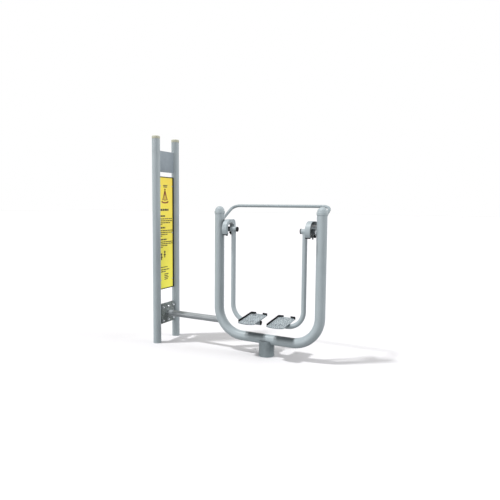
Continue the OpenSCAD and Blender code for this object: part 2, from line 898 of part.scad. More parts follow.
foot_brackets(1);  // right_foot_brackets
foot_plate(-1);  // left_foot_plate
foot_plate(1);  // right_foot_plate
foot_screws(-1);  // left_foot_screws
foot_screws(1);  // right_foot_screws
foot_nuts(-1);  // left_foot_nuts
foot_nuts(1);  // right_foot_nuts
edge_guards(-1);  // left_edge_guards
edge_guards(1);  // right_edge_guards
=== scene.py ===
import json
import math
import random

import bmesh
import bpy
from mathutils import Matrix, Vector

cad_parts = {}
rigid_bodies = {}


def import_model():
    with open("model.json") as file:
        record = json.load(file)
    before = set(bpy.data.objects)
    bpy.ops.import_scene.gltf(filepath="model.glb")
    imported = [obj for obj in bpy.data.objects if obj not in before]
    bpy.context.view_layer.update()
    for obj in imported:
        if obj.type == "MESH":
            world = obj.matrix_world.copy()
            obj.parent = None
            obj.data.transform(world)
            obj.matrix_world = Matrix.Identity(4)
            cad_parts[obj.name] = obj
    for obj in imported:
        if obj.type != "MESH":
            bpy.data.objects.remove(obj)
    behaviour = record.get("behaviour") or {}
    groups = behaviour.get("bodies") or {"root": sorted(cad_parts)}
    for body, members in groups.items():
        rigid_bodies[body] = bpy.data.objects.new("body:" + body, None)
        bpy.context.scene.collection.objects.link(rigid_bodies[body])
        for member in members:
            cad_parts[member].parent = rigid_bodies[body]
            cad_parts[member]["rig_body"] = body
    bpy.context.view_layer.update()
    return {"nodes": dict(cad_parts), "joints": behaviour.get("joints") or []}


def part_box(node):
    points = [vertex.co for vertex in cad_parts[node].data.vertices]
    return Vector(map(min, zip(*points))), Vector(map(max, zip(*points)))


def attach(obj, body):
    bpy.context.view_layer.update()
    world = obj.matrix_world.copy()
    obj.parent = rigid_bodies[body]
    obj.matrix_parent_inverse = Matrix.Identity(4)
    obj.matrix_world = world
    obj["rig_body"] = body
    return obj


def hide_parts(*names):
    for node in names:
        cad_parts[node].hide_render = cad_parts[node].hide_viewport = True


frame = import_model()

MM = 0.001
FRAME_BODY = "frame"
SIDES = {"left": -1, "right": 1}
ARM_BODIES = {side: side + "_arm" for side in SIDES}
nodes = frame["nodes"]
hinge_z = frame["joints"][0]["pos_m"][2]

# Sizes of the model that its boxes don't give
LEG_X = 0.497
LEG_R = 0.04445
SILL_Z = 0.149
BEND_R = 0.250
RAIL_R = 0.014
RAIL_END_X = 0.490
RAIL_END_Z = 1.193
RAIL_RISE = math.radians(30.8)
ARM_DROP = 0.842
FOOT_LIFT = 0.032
FOOT_TILT = math.radians(6)
STOP_BORE_R_MM = 58.5


# Small tools

def add(tree, kind, inputs=None, **settings):
    """Adds a node with its settings. An input is a value, or the output socket that feeds it."""
    made = tree.nodes.new(kind)
    for name, value in settings.items():
        setattr(made, name, value)
    for name, value in (inputs or {}).items():
        if isinstance(value, bpy.types.NodeSocket):
            tree.links.new(value, made.inputs[name])
        else:
            made.inputs[name].default_value = value
    return made


def linear(hex_colour):
    """An sRGB hex colour as the linear RGBA that a shader takes."""
    parts = [int(hex_colour[i:i + 2], 16) / 255 for i in (1, 3, 5)]
    return [c / 12.92 if c <= 0.04045 else ((c + 0.055) / 1.055) ** 2.4 for c in parts] + [1.0]


def per_mm(size_mm):
    """The texture scale at which one grain of a pattern is size_mm wide."""
    return 1 / (size_mm * MM)


def in_frame(name, mesh, body, finish, stands_for=()):
    """Makes a finished piece from a mesh that is already in place, and lets it ride on its body."""
    piece = bpy.data.objects.new(name, mesh)
    bpy.context.scene.collection.objects.link(piece)
    mesh.materials.clear()
    mesh.materials.append(finish)
    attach(piece, body)
    if stands_for:
        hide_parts(*stands_for)


# Materials

# The blue-grey that every painted tube has, darkest and lightest
PAINT_TONES = ("#959FA3", "#9CA6AA")
PAINT_PATCH_MM = 180


def new_surface(name, roughness, metallic=0.0, ior=None):
    """A material with its principled shader and Object coordinates."""
    made = bpy.data.materials.new(name)
    made.use_nodes = True
    tree = made.node_tree
    tree.nodes.clear()
    shader = add(tree, "ShaderNodeBsdfPrincipled", {"Roughness": roughness, "Metallic": metallic})
    if ior:
        shader.inputs["IOR"].default_value = ior
    add(tree, "ShaderNodeOutputMaterial", {"Surface": shader.outputs["BSDF"]})
    place = add(tree, "ShaderNodeTexCoord").outputs["Object"]
    return made, tree, shader, place


def toned(tree, shader, factor, low, high):
    """Colours a surface between two tones, by the factor."""
    tone = add(tree, "ShaderNodeMix", {"Factor": factor, "A": linear(low), "B": linear(high)},
               data_type="RGBA")
    tree.links.new(tone.outputs["Result"], shader.inputs["Base Color"])


def grained(tree, shader, height, strength, depth_mm):
    """Gives a surface a fine relief, by the height."""
    skin = add(tree, "ShaderNodeBump", {"Strength": strength, "Distance": depth_mm * MM, "Height": height})
    tree.links.new(skin.outputs["Normal"], shader.inputs["Normal"])


def powder_coated_steel(name, dark, light, patch_mm, satin=(0.38, 0.48)):
    """Polyester powder baked on steel: a blue-grey satin skin with a fine orange peel."""
    made, tree, shader, place = new_surface(name, satin[0], ior=1.45)
    cloud = add(tree, "ShaderNodeTexNoise", {"Vector": place, "Scale": per_mm(patch_mm), "Detail": 4.0,
                                             "Roughness": 0.6})
    spread = add(tree, "ShaderNodeMapRange", {"Value": cloud.outputs["Fac"], "From Min": 0.3,
                                              "From Max": 0.7})
    toned(tree, shader, spread.outputs["Result"], dark, light)
    peel = add(tree, "ShaderNodeTexNoise", {"Vector": place, "Scale": per_mm(2.4), "Detail": 2.0})
    grained(tree, shader, peel.outputs["Fac"], 0.25, 0.12)
    sheen = add(tree, "ShaderNodeMapRange", {"Value": cloud.outputs["Fac"], "To Min": satin[0],
                                             "To Max": satin[1]})
    tree.links.new(sheen.outputs["Result"], shader.inputs["Roughness"])
    return made


# The soft rim of the painted shade round each hinge, and how far out from the machine's middle it begins:
# on the stop's face beside the leg, and on the part of the hub that is inside the stop, where the stop shades
# it
SHADE_RIM_MM = 2
STOP_SHADE_X = 0.4231
HUB_SHADE_X = 0.3766
# The painted shadow of the foot plates on the lower run: its drift to one side, where the light throws it,
# the wander of its ragged edge, where the band on each side fades in and out, counted out from the drifted
# middle, and the heights between which it deepens
SHADOW_DRIFT_MM = 33
SHADOW_RAGGED_MM = 24
SHADOW_INNER_MM = (56, 72)
SHADOW_OUTER_MM = (238, 258)
SHADOW_HEIGHT_MM = (135, 186)


def paint_shade_over(made, where, shade_tone):
    """Lays painted shade, a darker tone, over a finished paint where the mask is 1, thinned by a fine noise.
    """
    tree = made.node_tree
    shader = tree.nodes["Principled BSDF"]
    place = add(tree, "ShaderNodeTexCoord").outputs["Object"]
    mottle = add(tree, "ShaderNodeTexNoise", {"Vector": place, "Scale": per_mm(12), "Detail": 3.0})
    thin = add(tree, "ShaderNodeMapRange", {"Value": mottle.outputs["Fac"], "To Min": 0.75, "To Max": 1.0})
    amount = add(tree, "ShaderNodeMath", {0: where.outputs[0], 1: thin.outputs["Result"]},
                 operation="MULTIPLY")
    clean = shader.inputs["Base Color"].links[0].from_socket
    tone = add(tree, "ShaderNodeMix", {"Factor": amount.outputs[0], "A": clean, "B": linear(shade_tone)},
               data_type="RGBA")
    tree.links.new(tone.outputs["Result"], shader.inputs["Base Color"])
    return made


def hinge_shade_paint(name, within_mm, beyond_x, fade_mm, shade_colour):
    """Powder-coated steel round a hinge, with painted shade that blackens it near the axis and towards the
    leg.
    """
    made = powder_coated_steel(name, *PAINT_TONES, PAINT_PATCH_MM)
    tree = made.node_tree
    place = add(tree, "ShaderNodeTexCoord").outputs["Object"]
    spot = add(tree, "ShaderNodeSeparateXYZ", {"Vector": place}).outputs
    rise = add(tree, "ShaderNodeMath", {0: spot["Z"], 1: hinge_z}, operation="SUBTRACT")
    reach = add(tree, "ShaderNodeCombineXYZ", {"Y": spot["Y"], "Z": rise.outputs[0]})
    radius = add(tree, "ShaderNodeVectorMath", {0: reach.outputs[0]}, operation="LENGTH").outputs["Value"]
    inside = add(tree, "ShaderNodeMapRange", {
        "Value": radius, "From Min": within_mm * MM, "From Max": (within_mm + SHADE_RIM_MM) * MM,
        "To Min": 1.0, "To Max": 0.0})
    across = add(tree, "ShaderNodeMath", {0: spot["X"]}, operation="ABSOLUTE")
    beside = add(tree, "ShaderNodeMapRange", {
        "Value": across.outputs[0], "From Min": beyond_x - fade_mm * MM, "From Max": beyond_x})
    where = add(tree, "ShaderNodeMath", {0: inside.outputs["Result"], 1: beside.outputs["Result"]},
                operation="MAXIMUM")
    return paint_shade_over(made, where, shade_colour)


def run_shadow_paint():
    """Powder-coated steel of the frame, with the foot plates' shadow painted on the lower run under each
    plate.
    """
    made = powder_coated_steel("shadow_painted_powder_coated_frame", *PAINT_TONES, PAINT_PATCH_MM)
    tree = made.node_tree
    place = add(tree, "ShaderNodeTexCoord").outputs["Object"]
    spot = add(tree, "ShaderNodeSeparateXYZ", {"Vector": place}).outputs
    drifted = add(tree, "ShaderNodeMath", {0: spot["X"], 1: SHADOW_DRIFT_MM * MM}, operation="SUBTRACT")
    across = add(tree, "ShaderNodeMath", {0: drifted.outputs[0]}, operation="ABSOLUTE")
    wander = add(tree, "ShaderNodeTexNoise", {"Vector": place, "Scale": per_mm(22), "Detail": 4.0})
    ragged = add(tree, "ShaderNodeMath", {0: wander.outputs["Fac"], 1: SHADOW_RAGGED_MM * MM,
                                          2: across.outputs[0]}, operation="MULTIPLY_ADD")
    begins = add(tree, "ShaderNodeMapRange", {
        "Value": ragged.outputs[0], "From Min": SHADOW_INNER_MM[0] * MM, "From Max": SHADOW_INNER_MM[1] * MM})
    ends = add(tree, "ShaderNodeMapRange", {
        "Value": ragged.outputs[0], "From Min": SHADOW_OUTER_MM[0] * MM, "From Max": SHADOW_OUTER_MM[1] * MM,
        "To Min": 1.0, "To Max": 0.0})
    on_top = add(tree, "ShaderNodeMapRange", {
        "Value": spot["Z"], "From Min": SHADOW_HEIGHT_MM[0] * MM, "From Max": SHADOW_HEIGHT_MM[1] * MM})
    band = add(tree, "ShaderNodeMath", {0: begins.outputs["Result"], 1: ends.outputs["Result"]},
               operation="MULTIPLY")
    where = add(tree, "ShaderNodeMath", {0: band.outputs[0], 1: on_top.outputs["Result"]},
                operation="MULTIPLY")
    return paint_shade_over(made, where, "#4A5154")


def zinc_plated_steel():
    """Bright zinc plate on fixings: silvery, with a faint milky bloom where the plating is thicker."""
    made, tree, shader, place = new_surface("zinc_plated_steel", 0.34, metallic=1.0)
    bloom = add(tree, "ShaderNodeTexNoise", {"Vector": place, "Scale": per_mm(5), "Detail": 3.0})
    toned(tree, shader, bloom.outputs["Fac"], "#A9AEB3", "#D2D5D8")
    dull = add(tree, "ShaderNodeMapRange", {"Value": bloom.outputs["Fac"], "To Min": 0.26, "To Max": 0.46})
    tree.links.new(dull.outputs["Result"], shader.inputs["Roughness"])
    return made


def bearing_steel():
    """Hardened, ground bearing steel: darker and smoother than the plated fixings, with grinding marks.

    The marks are drawn coarser than real ones, so that they show."""
    made, tree, shader, place = new_surface("ground_bearing_steel", 0.18, metallic=1.0)
    marks = add(tree, "ShaderNodeTexNoise", {"Vector": place, "Scale": per_mm(1.5), "Detail": 2.0})
    toned(tree, shader, marks.outputs["Fac"], "#A4A6A8", "#BABCBE")
    return made


def rubber():
    """Moulded EPDM rubber: matt black with a fine grain and a faint grey bloom.

    The grain is drawn coarser than the mould leaves it, so that it shows."""
    made, tree, shader, place = new_surface("moulded_epdm_rubber", 0.8, ior=1.5)
    shader.inputs["Specular IOR Level"].default_value = 0.12
    grain = add(tree, "ShaderNodeTexNoise", {"Vector": place, "Scale": per_mm(1.2), "Detail": 3.0})
    bloom = add(tree, "ShaderNodeTexNoise", {"Vector": place, "Scale": per_mm(25), "Detail": 2.0})
    toned(tree, shader, bloom.outputs["Fac"], "#131416", "#212326")
    grained(tree, shader, grain.outputs["Fac"], 0.5, 0.2)
    return made


def moulded_plastic(name, dark, light, roughness, level):
    """Injection-moulded plastic: an even, slightly cloudy colour with a fine spark-eroded grain.

    The grain is drawn coarser than the tool leaves it, so that it shows."""
    made, tree, shader, place = new_surface(name, roughness, ior=1.53)
    shader.inputs["Specular IOR Level"].default_value = level
    grain = add(tree, "ShaderNodeTexVoronoi", {"Vector": place, "Scale": per_mm(0.9)})
    fade = add(tree, "ShaderNodeTexNoise", {"Vector": place, "Scale": per_mm(30), "Detail": 2.0})
    toned(tree, shader, fade.outputs["Fac"], dark, light)
    grained(tree, shader, grain.outputs["Distance"], 0.3, 0.08)
    return made


def printed_sheet():
    """Screen-printed and lacquered sheet: lemon yellow, turning amber to the top and to the back."""
    low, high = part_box("sign_sheet")
    made, tree, shader, place = new_surface("screen_printed_sheet", 0.28, ior=1.5)
    spot = add(tree, "ShaderNodeSeparateXYZ", {"Vector": place}).outputs
    rise = add(tree, "ShaderNodeMapRange", {"Value": spot["Z"], "From Min": low.z, "From Max": high.z,
                                            "To Max": 0.75})
    back = add(tree, "ShaderNodeMapRange", {"Value": spot["Y"], "From Min": low.y, "From Max": high.y,
                                            "To Max": 0.25})
    amber = add(tree, "ShaderNodeMath", {0: rise.outputs["Result"], 1: back.outputs["Result"]})
    toned(tree, shader, amber.outputs[0], "#FFFC50", "#FFE152")
    grain = add(tree, "ShaderNodeTexNoise", {"Vector": place, "Scale": per_mm(3), "Detail": 2.0})
    grained(tree, shader, grain.outputs["Fac"], 0.15, 0.05)
    return made


PAINT = powder_coated_steel("powder_coated_steel", *PAINT_TONES, PAINT_PATCH_MM)
# Near-black painted shade in the stop's bore and on its face beside the leg, and a lighter painted shadow on
# the hub
STOP_PAINT = hinge_shade_paint("shade_painted_powder_coated_stop", STOP_BORE_R_MM, STOP_SHADE_X, 1.5, "#161B1D")
HUB_PAINT = hinge_shade_paint("shade_painted_powder_coated_hub", 0, HUB_SHADE_X, 5, "#2C3236")
# The foot plates' shadow is painted on the top of the run below them
RUN_PAINT = run_shadow_paint()
# The rail gets a paint a little darker than the tubes
RAIL_PAINT = powder_coated_steel("darker_powder_coated_rail", "#858F93", "#8D979B", 60)
# The upper plate faces away from the key light: a darker, a little bluer copy of the paint is its painted
# shade
SHADED_PLATE_PAINT = powder_coated_steel("powder_coated_plate", "#88929A", "#919BA3", 60)
# The lower plate and the flange get a darker paint in dull olive blotches
DARK_BLOTCHED_PAINT = powder_coated_steel("dark_blotched_powder_coated_plate", "#484E4B", "#8B9393", 20, (0.5, 0.7))
# A thicker coat that has flowed out glossier, so the link tube has a clearer highlight
LINK_PAINT = powder_coated_steel("glossy_powder_coated_steel", "#7F8487", "#8B9093", 120, (0.27, 0.31))
# Painted shade: the pedestal under the frame gets a darker paint, also duller
PEDESTAL_SHADE_PAINT = powder_coated_steel("shade_painted_powder_coated_steel", "#727C80", "#879195", 90, (0.45, 0.6))
# Soles leave dark dirt on the foot plates between the lozenges, and rub the lozenges bright in patches
WALKED_PAINT = powder_coated_steel("walked_powder_coated_plate", "#434D52", "#8F999E", 26, (0.4, 0.6))
RUBBED_PAINT = powder_coated_steel("rubbed_powder_coated_tread", "#7F898E", "#D2DADE", 24, (0.3, 0.4))
ZINC = zinc_plated_steel()
BEARING = bearing_steel()
RUBBER = rubber()
BLACK_PLASTIC = moulded_plastic("moulded_black_polyamide", "#060607", "#0D0E0F", 0.55, 0.08)
BEIGE_PLASTIC = moulded_plastic("moulded_beige_polyethylene", "#A6A692", "#B2B29F", 0.5, 0.5)
PRINTED = printed_sheet()
FINISHES = {
    "paint": PAINT, "zinc_plate": ZINC, "bearing_steel": BEARING, "black_rubber": RUBBER,
    "black_plastic": BLACK_PLASTIC, "beige_plastic": BEIGE_PLASTIC, "sign_print": PRINTED,
}
SLOT_OF = {name: node.material_slots[0].material.name.split(".")[0] for name, node in nodes.items()}

# Painted nodes with their own tone, wear or gleam, or with painted shade, unlike the rest
OWN_FINISH = {
    "upper_cross_plate": SHADED_PLATE_PAINT, "lower_cross_plate": DARK_BLOTCHED_PAINT, "link_flange": DARK_BLOTCHED_PAINT,
    "left_foot_plate": WALKED_PAINT, "right_foot_plate": WALKED_PAINT, "link_tube": LINK_PAINT,
    "pedestal": PEDESTAL_SHADE_PAINT, "left_stop": STOP_PAINT, "right_stop": STOP_PAINT,
    "left_hub": HUB_PAINT, "right_hub": HUB_PAINT, "left_stop_lug": HUB_PAINT,
    "right_stop_lug": HUB_PAINT, "u_frame": RUN_PAINT, "hand_rail": RAIL_PAINT,
}


def finish_of(node):
    """The finish that a CAD node shows: its own, or that of its slot in the record."""
    return OWN_FINISH.get(node, FINISHES[SLOT_OF[node]])


def dress_cad_nodes():
    """Every CAD node shows its finish."""
    for name, node in nodes.items():
        for place in node.material_slots:
            place.material = finish_of(name)


# Meshes

SAME_POINT = 0.002 * MM
SAME_FACE = math.radians(0.5)
SHARP_EDGE = math.radians(35)
SHARP_THREAD = math.radians(28)


def copy_of(node):
    """A CAD node's mesh as a bmesh with its loose triangles joined and its flat faces made whole."""
    shape = bmesh.new()
    shape.from_mesh(nodes[node].data)
    bmesh.ops.remove_doubles(shape, verts=shape.verts, dist=SAME_POINT)
    bmesh.ops.dissolve_limit(shape, angle_limit=SAME_FACE, verts=shape.verts, edges=shape.edges)
    return shape


def to_mesh(name, shape, sharp=SHARP_EDGE):
    """Turns a bmesh into a mesh that shades smooth across its soft edges."""
    mesh = bpy.data.meshes.new(name)
    shape.to_mesh(mesh)
    shape.free()
    mesh.shade_smooth()
    mesh.set_sharp_from_angle(angle=sharp)
    return mesh


def rounded(node, radius_mm):
    """Stands for a CAD node with its sharp edges rounded, as they are on the pressed or moulded piece."""
    shape = copy_of(node)
    sharp = [e for e in shape.edges if e.is_manifold and e.calc_face_angle() > SHARP_EDGE]
    bmesh.ops.bevel(shape, geom=sharp, offset=radius_mm * MM, segments=2, profile=0.5,
                    affect="EDGES", clamp_overlap=True)
    mesh = to_mesh(node + "_rounded", shape)
    in_frame(node + "_rounded", mesh, nodes[node]["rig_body"], finish_of(node), [node])


def islands(node, stand):
    """The lowest and highest corner of each separate solid in a CAD node, as seen from a stand."""
    shape = copy_of(node)
    bmesh.ops.transform(shape, matrix=stand.inverted(), verts=shape.verts)
    loose = set(shape.verts)
    found = []
    while loose:
        group = set()
        to_visit = [next(iter(loose))]
        while to_visit:
            v = to_visit.pop()
            if v not in group:
                group.add(v)
                to_visit.extend(e.other_vert(v) for e in v.link_edges)
        loose -= group
        points = [v.co for v in group]
        found.append((Vector([min(c[i] for c in points) for i in range(3)]),
                      Vector([max(c[i] for c in points) for i in range(3)])))
    shape.free()
    return sorted(found, key=lambda box: tuple(round(c, 4) for c in box[0]))


# Pieces with pressed, cut or moulded edges, and the radius of those edges
ROUNDED = {
    "upper_cross_plate": 1.2, "lower_cross_plate": 1.2, "link_flange": 1.2, "sign_trim": 1.0,
    "sign_lugs": 0.8, "left_foot_plate": 0.8, "right_foot_plate": 0.8, "left_foot_brackets": 0.6,
    "right_foot_brackets": 0.6, "left_edge_guards": 2.2, "right_edge_guards": 2.2,
    "left_stop_pads": 1.2, "right_stop_pads": 1.2, "left_arm_plug": 1.0, "right_arm_plug": 1.0,
    "left_hub_cover": 0.8, "right_hub_cover": 0.8, "front_post_cap": 1.5, "back_post_cap": 1.5,
}


# Geometry Nodes

def new_tree(name, sizes):
    """A Geometry Nodes group that takes a geometry and the named sizes, and gives a geometry."""
    tree = bpy.data.node_groups.new(name, "GeometryNodeTree")
    tree.interface.new_socket("Geometry", in_out="INPUT", socket_type="NodeSocketGeometry")
    tree.interface.new_socket("Geometry", in_out="OUTPUT", socket_type="NodeSocketGeometry")
    for label, kind in sizes.items():
        tree.interface.new_socket(label, in_out="INPUT", socket_type="NodeSocket" + kind)
    return tree, add(tree, "NodeGroupInput").outputs


def end_tree(tree, geometry, finish):
    """Closes a group: instances made real, the finish set, and the result given out."""
    real = add(tree, "GeometryNodeRealizeInstances", {"Geometry": geometry})
    done = add(tree, "GeometryNodeSetMaterial", {"Geometry": real.outputs["Geometry"], "Material": finish})
    add(tree, "NodeGroupOutput", {"Geometry": done.outputs["Geometry"]})


def grown(name, start, tree, values):
    """The plain mesh that a group makes from a start object, which is then removed."""
    bpy.context.scene.collection.objects.link(start)
    modifier = start.modifiers.new(tree.name, "NODES")
    modifier.node_group = tree
    sockets = {i.name: i.identifier for i in tree.interface.items_tree if i.in_out == "INPUT"}
    for label, value in values.items():
        modifier[sockets[label]] = value
    seen = start.evaluated_get(bpy.context.evaluated_depsgraph_get())
    mesh = bpy.data.meshes.new_from_object(seen)
    mesh.name = name
    bpy.data.objects.remove(start)
    return mesh


def weld_tree():
    """A bead that follows each curve, with the ripples that each puddle of metal leaves."""
    tree, given = new_tree("weld_bead", {"Width": "Float", "Ripple pitch": "Float",
                                         "Ripple depth": "Float", "Finish": "Material"})
    step = add(tree, "ShaderNodeMath", {0: given["Ripple pitch"], 1: 6.0}, operation="DIVIDE")
    path = add(tree, "GeometryNodeResampleCurve", {"Curve": given["Geometry"]}, mode="LENGTH")
    tree.links.new(step.outputs[0], path.inputs["Length"])
    along = add(tree, "GeometryNodeSplineParameter").outputs["Length"]
    turns = add(tree, "ShaderNodeMath", {0: along, 1: given["Ripple pitch"]}, operation="DIVIDE")
    phase = add(tree, "ShaderNodeMath", {0: turns.outputs[0], 1: 2 * math.pi}, operation="MULTIPLY")
    wave = add(tree, "ShaderNodeMath", {0: phase.outputs[0]}, operation="SINE")
    swell = add(tree, "ShaderNodeMath", {0: wave.outputs[0], 1: given["Ripple depth"], 2: 1.0},
                operation="MULTIPLY_ADD")
    radius = add(tree, "ShaderNodeMath", {0: given["Width"], 1: 0.5}, operation="MULTIPLY")
    section = add(tree, "GeometryNodeCurvePrimitiveCircle", {"Resolution": 8, "Radius": radius.outputs[0]})
    bead = add(tree, "GeometryNodeCurveToMesh", {
        "Curve": path.outputs["Curve"], "Profile Curve": section.outputs["Curve"],
        "Scale": swell.outputs[0], "Fill Caps": True})
    end_tree(tree, bead.outputs["Mesh"], given["Finish"])
    return tree


def tread_tree():
    """Rolled lozenges in rows on a face, each square to the next, clear of the face's edges and holes."""
    tree, given = new_tree("tread", {"Pitch": "Float", "Columns": "Int", "Rows": "Int", "Length": "Float",
                                     "Width": "Float", "Height": "Float", "Margin": "Float",
                                     "Finish": "Material"})
    span = [add(tree, "ShaderNodeMath", {0: given[n], 1: -1.0}, operation="ADD") for n in ("Columns", "Rows")]
    size = [add(tree, "ShaderNodeMath", {0: n.outputs[0], 1: given["Pitch"]}, operation="MULTIPLY")
            for n in span]
    grid = add(tree, "GeometryNodeMeshGrid", {"Size X": size[0].outputs[0], "Size Y": size[1].outputs[0],
                                              "Vertices X": given["Columns"], "Vertices Y": given["Rows"]})
    here = add(tree, "GeometryNodeInputPosition").outputs["Position"]
    above = add(tree, "ShaderNodeVectorMath", {0: here, 1: (0, 0, 10 * MM)}, operation="ADD")
    ray = add(tree, "GeometryNodeRaycast", {
        "Target Geometry": given["Geometry"], "Source Position": above.outputs[0],
        "Ray Direction": (0, 0, -1), "Ray Length": 20 * MM})
    faces = add(tree, "GeometryNodeInputMeshEdgeNeighbors").outputs["Face Count"]
    open_edge = add(tree, "FunctionNodeCompare", {"A": faces, "B": 1}, data_type="INT", operation="EQUAL")
    rim = add(tree, "GeometryNodeSeparateGeometry", {"Geometry": given["Geometry"],
                                                    "Selection": open_edge.outputs[0]}, domain="EDGE")
    near = add(tree, "GeometryNodeProximity", {"Geometry": rim.outputs["Selection"]}, target_element="EDGES")
    clear = add(tree, "FunctionNodeCompare", {"A": near.outputs["Distance"], "B": given["Margin"]},
                operation="GREATER_THAN")
    kept = add(tree, "FunctionNodeBooleanMath", {0: ray.outputs["Is Hit"], 1: clear.outputs[0]})
    index = add(tree, "GeometryNodeInputIndex").outputs["Index"]
    row = add(tree, "ShaderNodeMath", {0: index, 1: given["Rows"]}, operation="DIVIDE")
    row = add(tree, "ShaderNodeMath", {0: row.outputs[0]}, operation="FLOOR")
    odd = add(tree, "ShaderNodeMath", {0: row.outputs[0], 1: index}, operation="ADD")
    odd = add(tree, "ShaderNodeMath", {0: odd.outputs[0], 1: 2.0}, operation="MODULO")
    turn = add(tree, "ShaderNodeMath", {0: odd.outputs[0], 1: math.pi / 2, 2: math.pi / 4},
               operation="MULTIPLY_ADD")
    turned = add(tree, "ShaderNodeCombineXYZ", {"Z": turn.outputs[0]})
    half = [add(tree, "ShaderNodeMath", {0: given[n], 1: 0.5}, operation="MULTIPLY")
            for n in ("Length", "Width")]
    shape = add(tree, "ShaderNodeCombineXYZ", {"X": half[0].outputs[0], "Y": half[1].outputs[0],
                                               "Z": given["Height"]})
    ball = add(tree, "GeometryNodeMeshUVSphere", {"Segments": 12, "Rings": 6, "Radius": 1.0})
    lozenges = add(tree, "GeometryNodeInstanceOnPoints", {
        "Points": grid.outputs["Mesh"], "Selection": kept.outputs[0], "Instance": ball.outputs["Mesh"],
        "Rotation": turned.outputs[0], "Scale": shape.outputs[0]})
    end_tree(tree, lozenges.outputs["Instances"], given["Finish"])
    return tree


def fixing_tree():
    """One fixing on each point, turned about its own axis by chance, as hands leave them."""
    tree, given = new_tree("fixings", {"Fixing": "Object", "Seed": "Int", "Finish": "Material"})
    one = add(tree, "GeometryNodeObjectInfo", {"Object": given["Fixing"]})
    spin = add(tree, "FunctionNodeRandomValue", {"Seed": given["Seed"]}, data_type="FLOAT")
    spin.inputs[3].default_value = 2 * math.pi
    turn = add(tree, "ShaderNodeCombineXYZ", {"Z": spin.outputs[1]})
    row = add(tree, "GeometryNodeInstanceOnPoints", {
        "Points": given["Geometry"], "Instance": one.outputs["Geometry"], "Rotation": turn.outputs[0]})
    end_tree(tree, row.outputs["Instances"], given["Finish"])
    return tree


# Welds

FRAME_BEAD_MM = 6
RAIL_BEAD_MM = 4
ARM_BEAD_MM = 5
# The ripples' pitch as a share of the bead's width, and their depth as a share of its radius
RIPPLE_SHARE = 0.6
RIPPLE_DEPTH = 0.1
SEAM_STEPS = 48


def ring(point_at):
    """The closed line through the points that a function gives for each angle of a turn."""
    return [Vector(point_at(2 * math.pi * n / SEAM_STEPS)) for n in range(SEAM_STEPS)]


def arm_to_hub(side):
    """Where the arm's tube, coming from below, meets the round hub."""
    low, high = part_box(side + "_arm")
    hub_low, hub_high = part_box(side + "_hub")
    hub_r = (hub_high.z - hub_low.z) / 2
    arm_r = (high.y - low.y) / 2
    x = low.x + arm_r if SIDES[side] < 0 else high.x - arm_r

    def point(t):
        y = arm_r * math.sin(t)
        return x + arm_r * math.cos(t), y, hinge_z - math.sqrt(hub_r ** 2 - y ** 2)
    return ring(point)


def boss_to_leg(side):
    """Where the axle's boss meets the leg."""
    low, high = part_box(side + "_axle")
    boss_r = (high.z - low.z) / 2

    def point(t):
        y = boss_r * math.cos(t)
        return SIDES[side] * (LEG_X - math.sqrt(LEG_R ** 2 - y ** 2)), y, hinge_z + boss_r * math.sin(t)
    return ring(point)


def rail_to_leg(side):
    """Where a rising arm of the hand rail meets the leg."""
    def point(t):
        up = RAIL_R * math.sin(t)
        x = SIDES[side] * RAIL_END_X + RAIL_R * math.cos(t)
        y = math.sqrt(LEG_R ** 2 - (x - SIDES[side] * LEG_X) ** 2)
        along = (y + up * math.sin(RAIL_RISE)) / math.cos(RAIL_RISE)
        return x, y, RAIL_END_Z + along * math.sin(RAIL_RISE) + up * math.cos(RAIL_RISE)
    return ring(point)


def link_to_flange():
    """Where the link tube meets its flange."""
    low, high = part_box("link_tube")
    r, z = (high.y - low.y) / 2, (low.z + high.z) / 2
    return ring(lambda t: (low.x, r * math.cos(t), z + r * math.sin(t)))


def link_to_frame():
    """Where the link tube meets the bend of the frame."""
    low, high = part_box("link_tube")
    r, z = (high.y - low.y) / 2, (low.z + high.z) / 2
    bend_x, bend_z = BEND_R - LEG_X, BEND_R + SILL_Z

    def point(t):
        y, up = r * math.cos(t), z + r * math.sin(t)
        reach = BEND_R + math.sqrt(LEG_R ** 2 - y ** 2)
        return bend_x - math.sqrt(reach ** 2 - (up - bend_z) ** 2), y, up
    return ring(point)


def frame_to_pedestal():
    """Where the frame's lower run lies in the saddle at the top of the pedestal."""
    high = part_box("pedestal")[1]
    half = math.sqrt(LEG_R ** 2 - (SILL_Z - high.z) ** 2)
    across = [half * math.sin(math.radians(15 * n)) for n in range(-6, 7)]
    return [[Vector((side * math.sqrt(high.x ** 2 - y ** 2), y, SILL_Z - math.sqrt(LEG_R ** 2 - y ** 2)))
             for y in across] for side in (1, -1)]


def plates_to_posts():
    """The upright seams between both cross plates and the posts."""
    seams = []
    for plate in ("upper_cross_plate", "lower_cross_plate"):
        low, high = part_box(plate)
        post_low, post_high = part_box("front_post")
        post_r, post_y = (post_high.x - post_low.x) / 2, abs(post_low.y + post_high.y) / 2
        reach = post_y - math.sqrt(post_r ** 2 - ((high.x - low.x) / 2) ** 2)
        for x in (low.x, high.x):
            for y in (-reach, reach):
                seams.append([Vector((x, y, low.z)), Vector((x, y, high.z))])
    return seams


def weld(name, body, closed, straight, width_mm):
    """All the beads of one width on one body, as one piece."""
    lines = bpy.data.curves.new(name, "CURVE")
    lines.dimensions = "3D"
    for points, round_trip in [(c, True) for c in closed] + [(s, False) for s in straight]:
        spline = lines.splines.new("POLY")
        spline.points.add(len(points) - 1)
        for n, p in enumerate(points):
            spline.points[n].co = (*p, 1)
        spline.use_cyclic_u = round_trip
    mesh = grown(name, bpy.data.objects.new(name, lines), WELD, {
        "Width": width_mm * MM, "Ripple pitch": RIPPLE_SHARE * width_mm * MM,
        "Ripple depth": RIPPLE_DEPTH, "Finish": PAINT})
    mesh.shade_smooth()
    in_frame(name, mesh, body, PAINT)


WELD = weld_tree()


